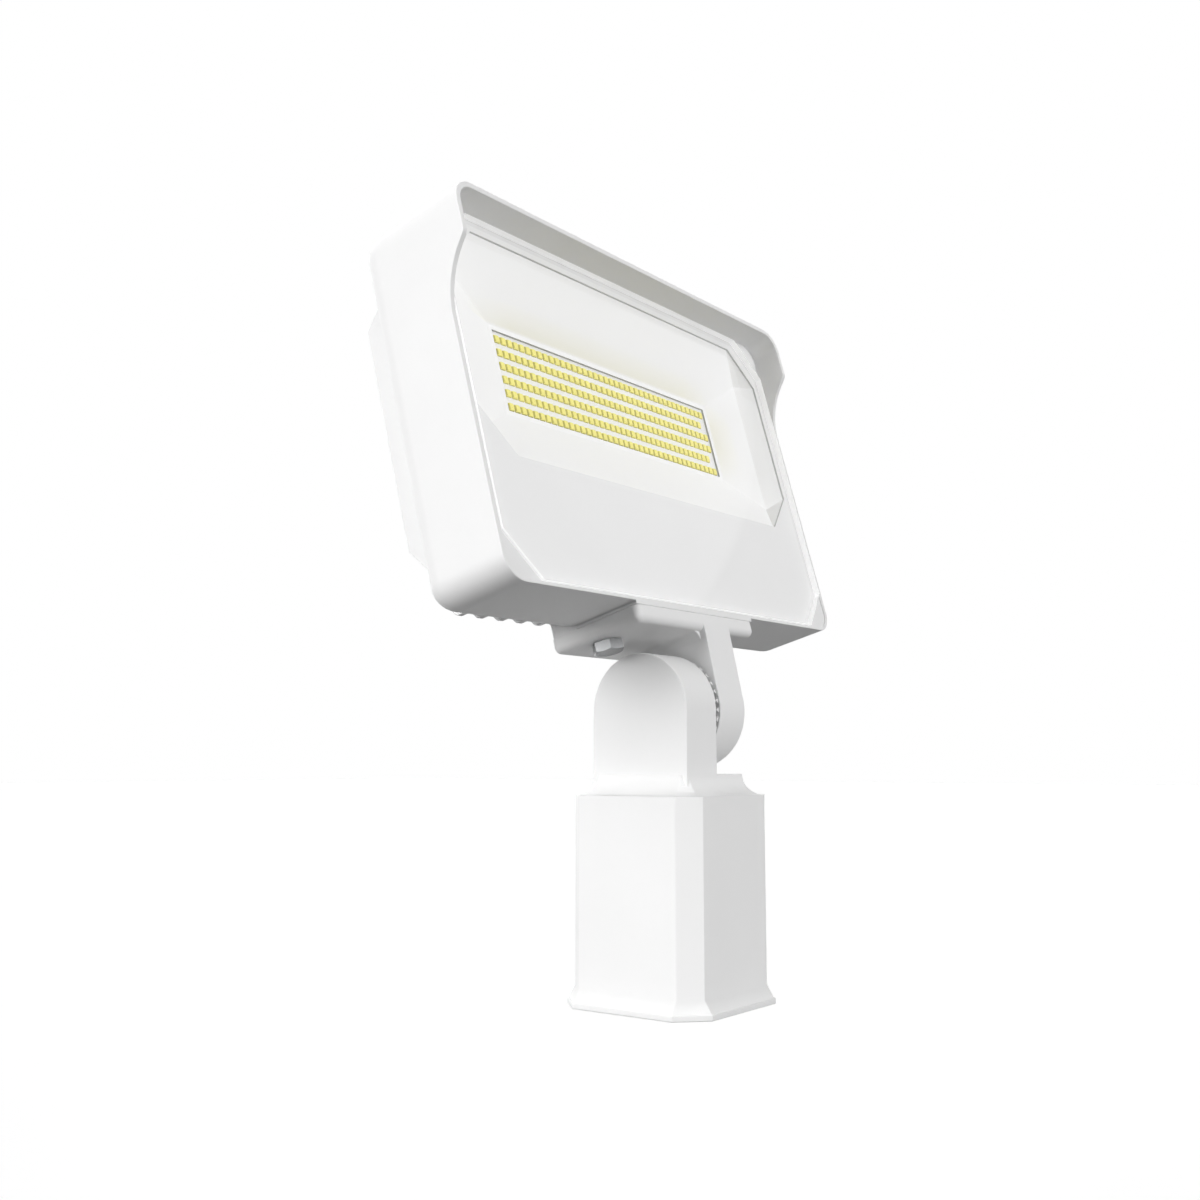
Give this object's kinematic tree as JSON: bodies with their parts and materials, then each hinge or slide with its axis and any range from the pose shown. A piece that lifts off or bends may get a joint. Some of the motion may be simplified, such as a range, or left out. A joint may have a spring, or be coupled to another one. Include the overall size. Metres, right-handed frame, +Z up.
{
  "type": "led flood light",
  "caption": "Wide flat LED flood light head with a short hood and rear cooling fins, tilting on a toothed knuckle over a square slipfitter that clamps on a round pole top.",
  "frame": {"origin": "centre of the slipfitter's lower rim, on the axis of the tenon bore", "axes": "+Z up along the bore axis, -Y out of the lit face, X along the hinge axis"},
  "size_m": [0.2716, 0.1284, 0.3571],
  "materials": {
    "white_casting": "die-cast, white powder coat, fine satin texture",
    "zinc_steel": "zinc plated",
    "black_rubber": "matte moulded rubber",
    "clear_glass": "clear tempered, polished, ground edges",
    "clear_silicone": "translucent matte silicone",
    "white_mask": "smooth white enamel",
    "white_reflector": "matte white reflective paint",
    "white_solder_mask": "semi-gloss white solder mask",
    "yellow_phosphor": "soft silicone over phosphor",
    "grey_silicone": "matte silicone sheet",
    "ivory_nylon": "moulded nylon",
    "red_insulation": "silicone wire insulation",
    "black_insulation": "silicone wire insulation",
    "sheet_aluminium": "mill finish sheet",
    "green_card": "glass-fibre card, semi-gloss",
    "yellow_tape": "wrapped polyester tape",
    "capacitor_sleeve": "shrunk plastic sleeve",
    "choke_core": "coated powder core",
    "brown_insulation": "wire insulation",
    "blue_insulation": "wire insulation",
    "green_insulation": "wire insulation",
    "black_nylon": "moulded nylon"
  },
  "bodies": {
    "base": {"slipfitter_housing": "white_casting", "tenon_screws": "zinc_steel", "wire_grommet": "black_rubber", "pivot_bolt": "zinc_steel", "pivot_washer": "zinc_steel", "pivot_lock_washer": "zinc_steel"},
    "head": {"knuckle_bracket": "white_casting", "bracket_bolts": "zinc_steel", "front_shell": "white_casting", "cover_glass": "clear_glass", "glass_gasket": "clear_silicone", "mask_plate": "white_mask", "reflector": "white_reflector", "led_board": "white_solder_mask", "led_chips": "yellow_phosphor", "board_screws": "zinc_steel", "thermal_pad": "grey_silicone", "board_connector": "ivory_nylon", "lead_positive": "red_insulation", "lead_negative": "black_insulation", "heat_sink": "white_casting", "housing_gasket": "black_rubber", "housing_screws": "zinc_steel", "driver_case": "sheet_aluminium", "driver_cover": "sheet_aluminium", "driver_board": "green_card", "driver_transformer": "yellow_tape", "driver_capacitors": "capacitor_sleeve", "driver_choke": "choke_core", "driver_screws": "zinc_steel", "terminal_block": "ivory_nylon", "mains_line": "brown_insulation", "mains_neutral": "blue_insulation", "earth_lead": "green_insulation", "earth_screw": "zinc_steel", "cable_gland": "black_nylon", "gland_seal": "black_rubber", "gland_nut": "black_nylon"}
  },
  "joints": [
    {"name": "head_tilt", "type": "hinge", "parent": "base", "child": "head", "pos_m": [0, 0, 0.1344], "axis": [1, 0, 0], "range_deg": [-74.5, 105.5]}
  ]
}
